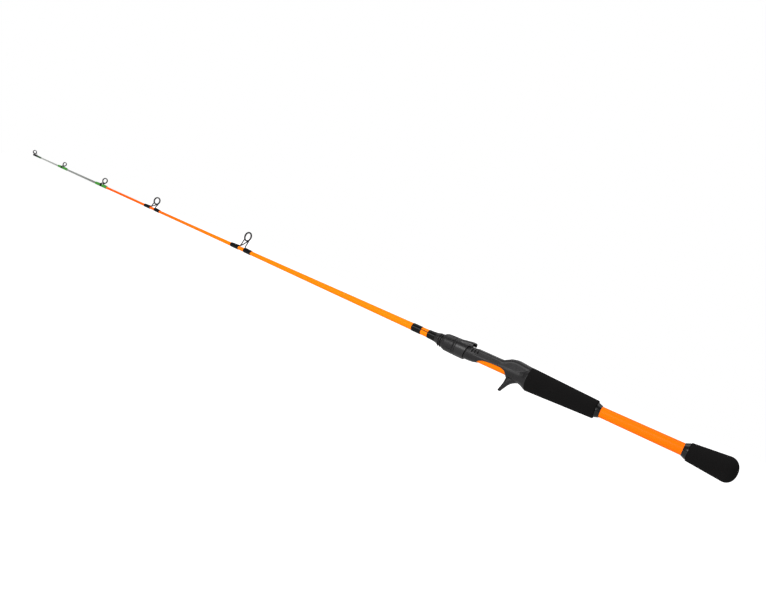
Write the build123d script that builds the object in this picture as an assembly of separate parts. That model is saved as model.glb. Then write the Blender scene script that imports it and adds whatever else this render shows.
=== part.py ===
from build123d import *
import os
from math import cos, radians, sin

os.makedirs("parts", exist_ok=True)

# An ice fishing rod of casting style: guides and reel on top, trigger below. Millimetres.
# +X runs from the tip to the butt, +Z points to the guides, and the origin is on the reel
# saddle's face, above the rod's axis. Pieces are built about the rod's axis and then
# lowered by saddle_height, so heights below are measured from the axis.

# ---- driving dimensions ----
butt_end_x = 258.0
saddle_height = 7.9

# Outside radius of the solid tip and of the tubular blank, by station.
tip_stations = [(-951.5, 1.1), (-860.0, 1.4), (-735.0, 1.8)]
blank_stations = [(-735.0, 1.85), (-670.0, 1.95), (-577.0, 2.1), (-491.0, 2.3), (-431.0, 2.6),
                  (-357.0, 3.05), (-225.0, 3.85), (-105.0, 4.5), (-20.0, 5.45), (0.0, 5.6),
                  (130.0, 5.9), (245.0, 6.5)]
blank_wall = 0.7
spigot_length = 45.0
spigot_radius = 0.9
socket_radius = 0.91

# Guides, from the butt: ring station, ring centre above the axis, frame ring outside
# radius, line bore radius, front wrap span and rear wrap span.
guide_sizes = [
    {"ring_x": -397.3, "height": 19.5, "outer": 7.1, "bore": 4.9, "wire": 0.80,
     "front_wrap": (-422.0, -405.5), "rear_wrap": (-395.0, -380.6)},
    {"ring_x": -599.1, "height": 13.8, "outer": 6.1, "bore": 4.15, "wire": 0.72,
     "front_wrap": (-622.5, -607.5), "rear_wrap": (-597.5, -584.5)},
    {"ring_x": -735.2, "height": 9.4, "outer": 4.85, "bore": 3.2, "wire": 0.60,
     "front_wrap": (-756.0, -743.0), "rear_wrap": (-737.5, -724.0)},
    {"ring_x": -854.6, "height": 7.2, "outer": 3.6, "bore": 2.3, "wire": 0.52,
     "front_wrap": (-870.6, -860.6), "rear_wrap": (-856.5, -841.5)},
]
band_thickness = 0.55
band_width = 1.5
insert_width = 2.2
insert_lip = 0.35
foot_half_width = 1.1
foot_height = 0.9
foot_end_height = 0.3
foot_clear = 1.3
foot_inset = 1.5
leg_angle = 45.0
leg_splay = 0.3
wrap_cover = 0.35

# Tip-top
tip_tube_front_x = -952.5
tip_tube_rear_x = -938.5
tip_tube_radius = 1.7
tip_ring_x = -951.9
tip_ring_height = 5.3
tip_ring_outer = 3.6
tip_ring_bore = 2.4
tip_wrap_rear_x = -926.5

# Wraps and hook keeper in front of the handle
handle_wrap_a = (-105.0, -91.6)
handle_wrap_b = (-82.5, -71.7)
handle_wrap_cover = 0.4
keeper_wire = 0.35
keeper_rise = 1.7
keeper_ramp = 2.4
keeper_buried = 6.0
keeper_angle = 18.0

# Reel seat
seat_front_x = -71.7
seat_front_radius = 5.7
thread_start_x = -66.0
thread_end_x = -44.0
thread_pitch = 2.5
thread_crest = 8.0
thread_root = 7.4
thread_land = 0.35
thread_flank = 0.9
seat_bore = 6.6
nose_bore = 5.0
nose_rear_x = -68.0
key_flat_height = 7.0
shoulder_x = -29.2
shoulder_slant = 12.0
shoulder_radius = 9.3
saddle_front_x = -19.0
saddle_rear_x = 12.0
saddle_half_width = 8.3
saddle_edge_radius = 2.2
body_radius = 8.5
seat_rear_x = 47.5
seat_rear_radius = 12.9
hump_edge_radius = 4.5
mouth_half_width = 5.4
rear_mouth_floor = 7.6
rear_mouth_roof = 12.0
rear_mouth_depth = 18.0
sleeve_spans = {"front_arbor": (-68.0, -50.0), "window_sleeve": (-15.5, 24.0),
                "rear_arbor": (27.0, 46.0)}

# Seat outlines behind the saddle: the bell as (x, radius) stations, the fixed hood's back
# and the window's edge as (x, z) points of a smooth curve, and the slope on the underside
# that leads down to the window.
bell_stations = [(saddle_rear_x, body_radius), (32.0, 8.7), (38.0, 9.2), (42.0, 10.4),
                 (45.0, 11.9), (seat_rear_x, seat_rear_radius)]
hump_points = [(saddle_rear_x, saddle_height), (17.0, 10.0), (22.0, 12.5), (27.5, 14.0),
               (34.0, 14.0), (41.0, 13.3), (seat_rear_x, seat_rear_radius)]
window_points = [(-14.6, -10.0), (-13.0, -5.4), (-9.0, -2.8), (-3.0, -1.3), (5.0, -0.6),
                 (12.0, -0.4), (17.5, -0.9), (20.8, -2.5), (22.6, -5.4), (23.2, -10.0)]
underside_slope = [(-23.0, -9.4), (-13.0, -6.9)]

# Trigger sections from its root to its end: height, front, rear and half width.
trigger_levels = [(-4.0, 22.6, 45.0, 4.8), (-9.0, 23.0, 38.5, 4.4), (-12.5, 22.8, 31.6, 4.1),
                  (-18.0, 21.7, 27.0, 3.7), (-22.3, 20.2, 24.5, 3.1), (-25.2, 19.8, 23.0, 1.9)]

# Slots in each side of the seat's shoulder
slot_count = 3
slot_first_x = -21.6
slot_pitch = 3.5
slot_width = 1.1
slot_height = 3.6
slot_depth = 2.4
slot_middle = 4.2
slot_lean = 12.0

# Sliding hood and locking nut
hood_front_x = -42.0
hood_radius = 10.6
hood_crown = 12.5
hood_lip_x = -23.5
hood_bore = 8.15
lip_height = 7.3
crest_half_width = 7.4
crest_edge_radius = 3.0
front_mouth_roof = 11.15
nut_front_x = -60.4
nut_rear_x = -42.15
nut_groove_count = 6
nut_groove_middle_x = -51.4
nut_groove_length = 12.0
nut_groove_width = 1.6
nut_groove_floor = 9.8
collar_front_x = -50.0
collar_radius = 9.0
snap_ridge = 0.3
running_gap = 0.15
far = 120.0

# Handle behind the seat
grip_span = (47.5, 122.4)
grip_radii = (13.2, 9.8)
grip_check_span = (122.4, 127.5)
grip_check_radii = (8.3, 6.4)
knob_check_span = (208.9, 213.8)
knob_check_radii = (6.5, 8.8)
knob_front_x = 213.8
knob_front_radius = 9.3
knob_widest_x = 247.9
knob_widest_radius = 12.6
blank_rear_x = 245.0


# ---- shared helpers ----
def station_radius(x):
    """Outside radius of the blank, or of its solid tip, at one station."""
    stations = tip_stations if x < blank_stations[0][0] else blank_stations
    for (x_a, r_a), (x_b, r_b) in zip(stations, stations[1:]):
        if x <= x_b:
            return r_a + (r_b - r_a) * (x - x_a) / (x_b - x_a)
    return stations[-1][1]


def turned(outline):
    """Solid of revolution about the rod's axis from a closed (x, radius) outline."""
    points = [(x, 0, radius) for x, radius in outline]
    return revolve(make_face(Polyline(*points, close=True)), axis=Axis.X)


def turned_bar(stations):
    """Solid round bar about the rod's axis through (x, radius) stations."""
    return turned([(stations[0][0], 0)] + stations + [(stations[-1][0], 0)])


def cross_plane(x, y=0.0, z=0.0):
    """Plane across the rod, with its own x to +Y and its own y to +Z."""
    return Plane(origin=(x, y, z), x_dir=(0, 1, 0), z_dir=(1, 0, 0))


def side_plane():
    """Plane along the rod's side, with its own x to +X and its own y to +Z."""
    return Plane(origin=(0, 0, 0), x_dir=(1, 0, 0), z_dir=(0, -1, 0))


def side_cut(face_wire, half_width):
    """Solid of a side-view outline carried to both sides of the rod."""
    return extrude(side_plane() * make_face(face_wire), amount=half_width, both=True)


def bar(start, end, radius):
    """Round bar between two points."""
    run = Vector(*end) - Vector(*start)
    return extrude(Plane(origin=start, z_dir=run) * Circle(radius), amount=run.length)


def disc_ring(x_middle, height, width, outer, inner):
    """Flat ring across the rod, with its hole along X."""
    face = cross_plane(x_middle - width / 2, 0, height) * (Circle(outer) - Circle(inner))
    return extrude(face, amount=width)


def write(node, shape):
    """Lower a piece so that the saddle's face is at zero height, and write its STEP file."""
    export_step(Pos(0, 0, -saddle_height) * shape, f"parts/{node}.step")


# ---- blank ----
tip_envelope = turned_bar(tip_stations)
blank_envelope = turned_bar(blank_stations)
splice_x = blank_stations[0][0]
spigot_end_x = splice_x + spigot_length
blank_tip = tip_envelope + turned_bar([(splice_x, spigot_radius), (spigot_end_x, spigot_radius)])
bore_stations = [(x, radius - blank_wall) for x, radius in blank_stations if x > spigot_end_x]
socket = turned_bar([(splice_x, socket_radius), (spigot_end_x, socket_radius)] + bore_stations)
blank = blank_envelope - socket
rod_core = tip_envelope + blank_envelope


def sleeve(stations):
    """Turned sleeve that fits the blank or tip inside it exactly."""
    return turned_bar(stations) - rod_core


# ---- guides ----
def foot(leg_x, end_x):
    """Guide foot on top of the blank, thickest at the leg and thin at its far end."""
    outline = Polyline((leg_x, station_radius(leg_x) - 0.3),
                       (leg_x, station_radius(leg_x) + foot_height),
                       (end_x, station_radius(end_x) + foot_end_height),
                       (end_x, station_radius(end_x) - 0.3), close=True)
    return side_cut(outline, foot_half_width)


def guide_frame(guide):
    """Double-foot frame: ring band, a leg from each side to the front foot, one leg to the rear."""
    ring_x, height, outer, wire = guide["ring_x"], guide["height"], guide["outer"], guide["wire"]
    front_leg_x = guide["front_wrap"][1]
    rear_leg_x = guide["rear_wrap"][0]
    frame = disc_ring(ring_x, height, band_width, outer, outer - band_thickness)
    frame += foot(front_leg_x + foot_clear, guide["front_wrap"][0] + foot_inset)
    frame += foot(rear_leg_x - foot_clear, guide["rear_wrap"][1] - foot_inset)
    middle = outer - band_thickness / 2
    sideways = middle * sin(radians(leg_angle))
    leg_top = height - middle * cos(radians(leg_angle))
    for x, side in ((front_leg_x + wire, -1), (front_leg_x + wire, 1), (rear_leg_x - wire, 1)):
        foot_top = station_radius(x) + foot_height - wire / 2
        frame += bar((ring_x, side * sideways, leg_top), (x, side * leg_splay, foot_top), wire)
    hole = cross_plane(ring_x - outer, 0, height) * Circle(outer - band_thickness)
    return frame - extrude(hole, amount=outer * 2) - rod_core


def guide_insert(ring_x, height, outer, bore):
    """Hard ring that lines a guide, with both mouths of its bore rounded."""
    insert = disc_ring(ring_x, height, insert_width, outer, bore)
    mouths = insert.edges().filter_by(GeomType.CIRCLE).group_by(SortBy.RADIUS)[0]
    return fillet(mouths, insert_lip)


def foot_wrap(leg_x, end_x, frame):
    """Thread wrap that holds a guide foot: tall at the leg and low at the foot's end."""
    sections = []
    for x, rise in ((leg_x, foot_height), (end_x, foot_end_height)):
        radius = station_radius(x) + wrap_cover
        sections.append(cross_plane(x, 0, rise / 2) * Ellipse(radius, radius + rise / 2))
    return loft(sections) - rod_core - frame


for number, guide in enumerate(guide_sizes, start=1):
    frame = guide_frame(guide)
    insert_outer = guide["outer"] - band_thickness
    write(f"guide_{number}_frame", frame)
    write(f"guide_{number}_ring",
          guide_insert(guide["ring_x"], guide["height"], insert_outer, guide["bore"]))
    front_end_x, front_leg_x = guide["front_wrap"]
    rear_leg_x, rear_end_x = guide["rear_wrap"]
    write(f"guide_{number}_front_wrap", foot_wrap(front_leg_x, front_end_x, frame))
    write(f"guide_{number}_rear_wrap", foot_wrap(rear_leg_x, rear_end_x, frame))
    if number > 2:
        band_radius = station_radius(front_leg_x) + wrap_cover
        band = sleeve([(front_leg_x, band_radius), (rear_leg_x, band_radius)])
        write(f"guide_{number}_trim_band", band - frame)

# ---- tip-top ----
tip_tube = turned_bar([(tip_tube_front_x, 1.0), (tip_tube_front_x + 0.6, tip_tube_radius),
                       (tip_tube_rear_x, tip_tube_radius)])
tip_band_middle = tip_ring_outer - band_thickness / 2
tip_frame = tip_tube + disc_ring(tip_ring_x, tip_ring_height, band_width, tip_ring_outer,
                                 tip_ring_outer - band_thickness)
for side in (-1, 1):
    ring_point = (tip_ring_x, side * tip_band_middle * cos(radians(10)),
                  tip_ring_height - tip_band_middle * sin(radians(10)))
    tip_frame += bar(ring_point, (tip_tube_rear_x - 4.0, side * 0.6, 0.9), 0.45)
tip_hole = cross_plane(tip_ring_x - 5, 0, tip_ring_height) * Circle(tip_ring_outer - band_thickness)
tip_frame = tip_frame - extrude(tip_hole, amount=10) - rod_core
write("tip_top_frame", tip_frame)
write("tip_top_ring", guide_insert(tip_ring_x, tip_ring_height,
                                   tip_ring_outer - band_thickness, tip_ring_bore))
write("tip_wrap", sleeve([(tip_tube_rear_x, 1.65), (tip_tube_rear_x + 1.0, 1.65),
                          (tip_wrap_rear_x, 1.5)]))
write("blank_tip", blank_tip)
write("blank", blank)

# ---- hook keeper and the wraps in front of the handle ----
keeper_start_x = handle_wrap_a[1] + 0.3
keeper_stop_x = handle_wrap_b[0] - 0.3
keeper_start_height = station_radius(keeper_start_x)
keeper_stop_height = station_radius(keeper_stop_x)
keeper_points = [(keeper_start_x - keeper_buried, 0, keeper_start_height),
                 (keeper_start_x, 0, keeper_start_height),
                 (keeper_start_x + keeper_ramp, 0, keeper_start_height + keeper_rise),
                 (keeper_stop_x - keeper_ramp, 0, keeper_stop_height + keeper_rise),
                 (keeper_stop_x, 0, keeper_stop_height),
                 (keeper_stop_x + keeper_buried, 0, keeper_stop_height)]
keeper = Pos(*keeper_points[0]) * Sphere(keeper_wire)
for start, end in zip(keeper_points, keeper_points[1:]):
    keeper += bar(start, end, keeper_wire) + Pos(*end) * Sphere(keeper_wire)
keeper = Rot(90 - keeper_angle, 0, 0) * keeper - rod_core
keeper = keeper.solids().sort_by(SortBy.VOLUME)[-1]
write("hook_keeper", keeper)

wrap_a_stations = [(x, station_radius(x) + handle_wrap_cover) for x in handle_wrap_a]
write("handle_wrap_front", sleeve(wrap_a_stations) - keeper)
flare_x = handle_wrap_b[0] + 5.0
wrap_b_stations = [(handle_wrap_b[0], station_radius(handle_wrap_b[0]) + handle_wrap_cover),
                   (flare_x, station_radius(flare_x) + handle_wrap_cover),
                   (handle_wrap_b[1], 5.7)]
write("handle_wrap_rear", sleeve(wrap_b_stations) - keeper)

# ---- reel seat ----
def thread_outline():
    """Closed (x, radius) outline of the threaded barrel, with its thread as rings."""
    outline = [(seat_front_x, 0), (seat_front_x, seat_front_radius), (thread_start_x - 2.0, 6.7)]
    x = thread_start_x
    while x + thread_pitch <= thread_end_x:
        outline += [(x - thread_flank, thread_root), (x - thread_land, thread_crest),
                    (x + thread_land, thread_crest), (x + thread_flank, thread_root)]
        x += thread_pitch
    outline += [(x, thread_root), (x + thread_flank, thread_crest)]
    return outline + [(saddle_front_x, thread_crest), (saddle_front_x, 0)]


def half_space(x, slant_deg):
    """Large block behind a plane across the rod, leaned so that its top is further back."""
    block = Pos(far / 2, 0, 0) * Box(far, far, far)
    return Pos(x, 0, 0) * Rot(0, slant_deg, 0) * block


def block_above(height):
    """Large block above a level plane."""
    return Pos(0, 0, height + far / 2) * Box(2 * far, far, far)


def saddle_section(x):
    """Section of the seat under the reel: round below, with a flat saddle above."""
    lower = Circle(body_radius) & Pos(0, -far / 2) * Rectangle(far, far)
    upper = Pos(0, saddle_height / 2) * Rectangle(2 * saddle_half_width, saddle_height)
    upper = fillet(upper.vertices().group_by(Axis.Y)[-1], saddle_edge_radius)
    return cross_plane(x) * (lower + upper)


def rear_bell():
    """Flared rear of the seat, from the saddle to the grip's front."""
    return turned_bar(bell_stations)


def fixed_hood():
    """Rear hood: a hump that rises from the saddle and runs back to the grip."""
    curve = Spline(*hump_points)
    ends = Polyline((seat_rear_x, seat_rear_radius), (seat_rear_x, 0), (saddle_rear_x, 0),
                    (saddle_rear_x, saddle_height))
    hump = side_cut(Wire([curve.edge()] + list(ends.edges())), saddle_half_width)
    return fillet(hump.edges().filter_by(GeomType.BSPLINE), hump_edge_radius)


def trigger():
    """Finger trigger: a thin hook that leans forward under the seat's rear."""
    sections = []
    for z, front_x, rear_x, half_width in trigger_levels:
        level = Plane(origin=((front_x + rear_x) / 2, 0, z))
        sections.append(level * Ellipse((rear_x - front_x) / 2, half_width))
    return loft(sections)


def window_cut():
    """Underside window that bares the orange sleeve in front of the trigger."""
    curve = Spline(*window_points)
    chord = Line(window_points[-1], window_points[0])
    below = -far / 2
    slope = Polyline(*underside_slope, (underside_slope[1][0], below),
                     (underside_slope[0][0], below), close=True)
    return side_cut(Wire([curve.edge(), chord.edge()]), far / 2) + side_cut(slope, far / 2)


def seat_body():
    """Reel seat: threaded barrel, saddle, underside window, fixed hood and trigger."""
    seat = turned(thread_outline())
    shoulder = turned_bar([(shoulder_x - 10, shoulder_radius),
                           (saddle_front_x - 5, shoulder_radius - 0.3),
                           (saddle_front_x, body_radius)])
    seat += shoulder & half_space(shoulder_x, shoulder_slant)
    saddle_run = saddle_rear_x + 2.0 - (saddle_front_x - 5.0)
    seat += extrude(saddle_section(saddle_front_x - 5.0), amount=saddle_run)
    seat += rear_bell() + fixed_hood() + trigger()
    seat -= block_above(key_flat_height) - half_space(saddle_front_x, 0)
    mouth = Box(rear_mouth_depth, 2 * mouth_half_width, rear_mouth_roof - rear_mouth_floor)
    mouth_middle = (rear_mouth_roof + rear_mouth_floor) / 2
    seat -= Pos(saddle_rear_x + rear_mouth_depth / 2, 0, mouth_middle) * mouth
    seat -= window_cut()
    slot = Rot(0, slot_lean, 0) * Box(slot_width, 2 * slot_depth, slot_height)
    for side in (-1, 1):
        for number in range(slot_count):
            slot_x = slot_first_x + slot_pitch * number
            seat -= Pos(slot_x, side * shoulder_radius, slot_middle) * slot
    bore = turned_bar([(seat_front_x - 1, nose_bore), (nose_rear_x, nose_bore),
                       (nose_rear_x, seat_bore), (seat_rear_x + 1, seat_bore)])
    return seat - bore


write("seat_body", seat_body())
for name, sleeve_span in sleeve_spans.items():
    write(name, sleeve([(x, seat_bore) for x in sleeve_span]))


def collar_profile(radius, ridge):
    """Outline of the hood's collar, or of the nut's recess for it, with its snap ridge."""
    middle = collar_front_x + 0.8
    return [(middle - ridge - 0.4, radius), (middle - 0.4, radius + ridge),
            (middle + 0.4, radius + ridge), (middle + ridge + 0.4, radius)]


def hood_crest():
    """Crest along the top of the sliding hood, which arches over the reel's foot."""
    crown = Spline((hood_front_x, 9.0), (-38.0, 10.9), (-33.0, 11.6), (-27.5, hood_crown),
                   (hood_lip_x, hood_crown - 0.5))
    ends = Polyline((hood_lip_x, hood_crown - 0.5), (hood_lip_x, 4.0), (hood_front_x, 4.0),
                    (hood_front_x, 9.0))
    crest = side_cut(Wire([crown.edge()] + list(ends.edges())), crest_half_width)
    return fillet(crest.edges().filter_by(GeomType.BSPLINE), crest_edge_radius)


def sliding_hood():
    """Front hood: rides on the barrel and holds down the front of the reel's foot."""
    behind_rim = half_space(shoulder_x, shoulder_slant)
    tube = turned_bar([(hood_front_x, hood_radius), (hood_lip_x, hood_radius)]) - behind_rim
    hood = tube + (hood_crest() - (behind_rim - block_above(lip_height)))
    hood += turned_bar([(collar_front_x, collar_radius)] + collar_profile(collar_radius, snap_ridge)
                       + [(hood_front_x, collar_radius)])
    bore = turned_bar([(collar_front_x - 1, hood_bore), (hood_lip_x + 1, hood_bore)])
    hood -= bore - block_above(key_flat_height + running_gap)
    mouth = Polyline((-36.0, key_flat_height), (-36.0, front_mouth_roof - 1.5),
                     (-30.5, front_mouth_roof), (hood_lip_x + 1, front_mouth_roof),
                     (hood_lip_x + 1, key_flat_height), close=True)
    return hood - side_cut(mouth, mouth_half_width)


def locking_nut():
    """Threaded nut that drives the hood, with a snap groove for the hood's collar."""
    nut = turned_bar([(nut_front_x, 8.9), (nut_front_x + 1.0, 9.3), (nut_front_x + 5.0, 10.1),
                      (nut_rear_x - 6.0, 10.5), (nut_rear_x, hood_radius)])
    groove = Box(nut_groove_length, nut_groove_width, 2.0)
    groove = Pos(nut_groove_middle_x, 0, nut_groove_floor + 1.0) * groove
    for number in range(nut_groove_count):
        nut -= Rot(360.0 * number / nut_groove_count, 0, 0) * groove
    recess = collar_radius + running_gap
    cavity = turned_bar([(nut_front_x - 1, hood_bore), (collar_front_x - 0.5, hood_bore),
                         (collar_front_x - 0.5, recess)] + collar_profile(recess, snap_ridge)
                        + [(nut_rear_x + 1, recess)])
    return nut - cavity


write("sliding_hood", sliding_hood())
write("locking_nut", locking_nut())

# ---- handle ----
grip = sleeve([(grip_span[0], grip_radii[0] - 0.8), (grip_span[0] + 0.8, grip_radii[0]),
               (grip_span[1] - 0.8, grip_radii[1]), (grip_span[1], grip_radii[1] - 0.8)])
write("rear_grip", grip)
write("grip_winding_check", sleeve(list(zip(grip_check_span, grip_check_radii))))
write("knob_winding_check", sleeve(list(zip(knob_check_span, knob_check_radii))))


def butt_knob():
    """Foam knob: a cone that widens to the rear and ends in a dome."""
    dome = Spline((knob_widest_x, 0, knob_widest_radius), (252.5, 0, 10.6), (256.3, 0, 6.4),
                  (butt_end_x, 0, 0), tangents=[(1, 0, -0.05), (0, 0, -1)])
    rim = Polyline((butt_end_x, 0, 0), (knob_front_x, 0, 0), (knob_front_x, 0, knob_front_radius),
                   (knob_widest_x, 0, knob_widest_radius))
    face = make_face(Wire([dome.edge()] + list(rim.edges())))
    return revolve(face, axis=Axis.X) - rod_core


write("butt_knob", butt_knob())
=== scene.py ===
import logging
import math
from dataclasses import dataclass, field
from enum import Enum
from typing import Callable, Iterable, Sequence

import bmesh
import bpy
from mathutils import Matrix, Vector


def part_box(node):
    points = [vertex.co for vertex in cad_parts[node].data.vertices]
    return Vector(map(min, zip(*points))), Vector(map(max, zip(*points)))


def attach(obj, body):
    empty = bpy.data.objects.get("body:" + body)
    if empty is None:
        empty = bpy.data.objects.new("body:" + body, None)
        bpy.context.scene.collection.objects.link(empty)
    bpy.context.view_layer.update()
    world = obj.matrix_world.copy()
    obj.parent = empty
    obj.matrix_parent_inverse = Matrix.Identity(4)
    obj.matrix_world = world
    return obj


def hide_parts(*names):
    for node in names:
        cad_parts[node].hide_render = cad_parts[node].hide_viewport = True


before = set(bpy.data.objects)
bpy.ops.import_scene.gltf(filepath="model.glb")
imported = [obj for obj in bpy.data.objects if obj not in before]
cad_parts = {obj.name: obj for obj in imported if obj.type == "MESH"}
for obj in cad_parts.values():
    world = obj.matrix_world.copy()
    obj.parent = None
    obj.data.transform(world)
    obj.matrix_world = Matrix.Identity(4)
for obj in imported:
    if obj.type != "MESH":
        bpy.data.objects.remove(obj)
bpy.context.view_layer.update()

log = logging.getLogger("ice_rod")

MM = 0.001
TURN = 2 * math.pi
WELD_M = 1e-7
CAD_WELD_M = 2e-6
SMOOTH_SHARE = 0.5
FORM_SEGMENTS = 48
RING_SEGMENTS = 72
WRAP_SEGMENTS = 64
FINE_SEGMENTS = 96
UNIT = (0.0, 1.0)
NOISE_SPREAD = (0.3, 0.7)
Profile = list[tuple[float, float]]
Colour = tuple[float, float, float]


class Side(Enum):
    """Side of the rod seen from behind the butt, as a sign along Y."""

    LEFT = -1
    RIGHT = 1


class Body(Enum):
    """The moving bodies that pieces ride on."""

    ROOT = "root"
    HOOD = "hood"
    NUT = "nut"


# ---- places read from the frame ----

def span(node: str) -> tuple[float, float]:
    """Front and rear ends of a CAD node along the rod, in millimetres."""
    low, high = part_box(node)
    return low.x / MM, high.x / MM


def centre_height(node: str) -> float:
    """Height of the middle of a CAD node's box, in millimetres."""
    low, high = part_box(node)
    return (low.z + high.z) / 2 / MM


def half_width(node: str) -> float:
    """Half of a CAD node's width across the rod, in millimetres."""
    low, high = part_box(node)
    return (high.y - low.y) / 2 / MM


AXIS = centre_height("blank")


@dataclass(frozen=True)
class Taper:
    """Outside radius along the rod, read from the CAD nodes of the blank and its solid tip."""

    stations: tuple[tuple[float, float], ...]
    bore_drop_mm = 0.05

    @classmethod
    def of_nodes(cls, *names: str) -> "Taper":
        """Collects the largest radius found at each station of the named nodes.

        Args:
            names: CAD nodes turned about the rod's axis, from the tip to the butt.

        Returns:
            The taper through all their outer corners.
        """
        found: dict[float, float] = {}
        for name in names:
            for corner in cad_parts[name].data.vertices:
                x = round(corner.co.x / MM, 1)
                radius = math.hypot(corner.co.y / MM, corner.co.z / MM - AXIS)
                found[x] = max(found.get(x, 0.0), radius)
        outer: list[tuple[float, float]] = []
        for x, radius in sorted(found.items()):
            if not outer or radius >= outer[-1][1] - cls.bore_drop_mm:
                outer.append((x, radius))
        return cls(tuple(outer))

    def at(self, x: float) -> float:
        """Radius at one place along the rod, in millimetres."""
        if x <= self.stations[0][0]:
            return self.stations[0][1]
        for (x_a, r_a), (x_b, r_b) in zip(self.stations, self.stations[1:]):
            if x <= x_b:
                return r_a + (r_b - r_a) * (x - x_a) / max(x_b - x_a, 1e-6)
        return self.stations[-1][1]


TAPER = Taper.of_nodes("blank_tip", "blank")


# ---- mesh making ----

def rounded(profile: Profile, radius: float, steps: int = 4) -> Profile:
    """Rounds the inner corners of an open profile.

    Args:
        profile: Corners as (place along the rod, radius).
        radius: How far from each corner its round begins.
        steps: Points in each round, less one.

    Returns:
        The profile with a short curve in place of each inner corner.
    """
    edge_share = 0.45
    points = [Vector(p) for p in profile]
    result = [points[0]]
    for before, corner, after in zip(points, points[1:], points[2:]):
        back, ahead = before - corner, after - corner
        reach = min(radius, edge_share * back.length, edge_share * ahead.length)
        start = corner + back.normalized() * reach
        end = corner + ahead.normalized() * reach
        for step in range(steps + 1):
            t = step / steps
            result.append(start * (1 - t) ** 2 + corner * 2 * t * (1 - t) + end * t ** 2)
    result.append(points[-1])
    return [(p.x, p.y) for p in result]


def smooth_path(points: Sequence[Vector], steps: int = 6) -> list[Vector]:
    """Points on a smooth curve through the given ones.

    Args:
        points: Places the curve passes, in order.
        steps: Points made between each two.

    Returns:
        The curve's points, ends included.
    """
    padded = [points[0] * 2 - points[1], *points, points[-1] * 2 - points[-2]]
    curve = []
    for a, b, c, d in zip(padded, padded[1:], padded[2:], padded[3:]):
        for step in range(steps):
            t = step / steps
            curve.append(0.5 * ((2 * b) + (c - a) * t + (2 * a - 5 * b + 4 * c - d) * t ** 2
                                + (3 * b - a - 3 * c + d) * t ** 3))
    curve.append(points[-1].copy())
    return curve


class Form:
    """A mesh in the making: closed shells are added to it, then it becomes one piece."""

    def __init__(self, name: str) -> None:
        """Starts an empty form.

        Args:
            name: Name of the finished piece.
        """
        self.name = name
        self.mesh = bmesh.new()

    def skin(self, rings: Sequence[Sequence[Vector]], looped: bool = False) -> None:
        """Adds a shell through rings that have the same number of points.

        Args:
            rings: Closed rings of points, in millimetres.
            looped: True joins the last ring to the first; otherwise both ends are capped.
        """
        rows = [[self.mesh.verts.new(p * MM) for p in ring] for ring in rings]
        pairs = list(zip(rows, rows[1:]))
        if looped:
            pairs.append((rows[-1], rows[0]))
        count = len(rows[0])
        for row, following in pairs:
            for i in range(count):
                j = (i + 1) % count
                self.mesh.faces.new((row[i], row[j], following[j], following[i]))
        if not looped:
            self.mesh.faces.new(list(reversed(rows[0])))
            self.mesh.faces.new(rows[-1])

    def turn(self, profile: Profile, height: float = AXIS, segments: int = FORM_SEGMENTS,
             looped: bool = False) -> None:
        """Adds a shape turned about a line along the rod.

        Args:
            profile: Outline as (place along the rod, radius).
            height: Height of the line it is turned about.
            segments: Faces round the shape.
            looped: True where the outline goes round a wall and meets itself.
        """
        rings = []
        for x, radius in profile:
            ring = []
            for i in range(segments):
                angle = TURN * i / segments
                ring.append(Vector((x, radius * math.sin(angle), height + radius * math.cos(angle))))
            rings.append(ring)
        self.skin(rings, looped)

    def wire(self, path: Sequence[Vector], size: Callable[[float], tuple[float, float]],
             sides: int = 12) -> None:
        """Adds a bar that follows a path, with an oval section that may change along it.

        Args:
            path: The bar's centre line.
            size: Gives the section's half width and half height at a share of the length.
            sides: Faces round the bar.
        """
        rings = []
        across = Vector((0, 1, 0))
        for i, point in enumerate(path):
            ahead = path[min(i + 1, len(path) - 1)] - path[max(i - 1, 0)]
            ahead.normalize()
            across = (across - ahead * across.dot(ahead)).normalized()
            up = across.cross(ahead)
            wide, tall = size(i / (len(path) - 1))
            ring = []
            for k in range(sides):
                angle = TURN * k / sides
                ring.append(point + across * wide * math.cos(angle) + up * tall * math.sin(angle))
            rings.append(ring)
        self.skin(rings)

    def piece(self, material: bpy.types.Material, crease_deg: float = 35.0) -> bpy.types.Object:
        """Finishes the form as an object with outward faces.

        Args:
            material: The finish of all its faces.
            crease_deg: Edges sharper than this stay crisp in shading.

        Returns:
            The new object, at the origin.
        """
        bmesh.ops.remove_doubles(self.mesh, verts=self.mesh.verts, dist=WELD_M)
        bmesh.ops.recalc_face_normals(self.mesh, faces=self.mesh.faces)
        data = bpy.data.meshes.new(self.name)
        self.mesh.to_mesh(data)
        self.mesh.free()
        return add_piece(self.name, data, material, crease_deg)


def add_piece(name: str, data: bpy.types.Mesh, material: bpy.types.Material,
              crease_deg: float) -> bpy.types.Object:
    """Links a mesh as a smooth-shaded object with one material.

    Args:
        name: Name of the object and its mesh.
        data: The mesh.
        material: Its finish.
        crease_deg: Edges sharper than this stay crisp in shading.

    Returns:
        The new object.
    """
    data.name = name
    data.materials.clear()
    data.materials.append(material)
    data.polygons.foreach_set("use_smooth", [True] * len(data.polygons))
    data.set_sharp_from_angle(angle=math.radians(crease_deg))
    piece = bpy.data.objects.new(name, data)
    bpy.context.scene.collection.objects.link(piece)
    return piece


def place(piece: bpy.types.Object, body: Body, slot: str, *nodes: str) -> bpy.types.Object:
    """Puts a finished piece on its body and hides the CAD nodes it stands for.

    Args:
        piece: The finished piece.
        body: The body that it rides on.
        slot: The record's material slot; not used.
        nodes: CAD nodes that it stands for.

    Returns:
        The same piece.
    """
    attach(piece, body.value)
    if nodes:
        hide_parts(*nodes)
    log.info("%s: %d faces, rides on %s", piece.name, len(piece.data.polygons), body.value)
    return piece


# ---- node trees ----

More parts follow.
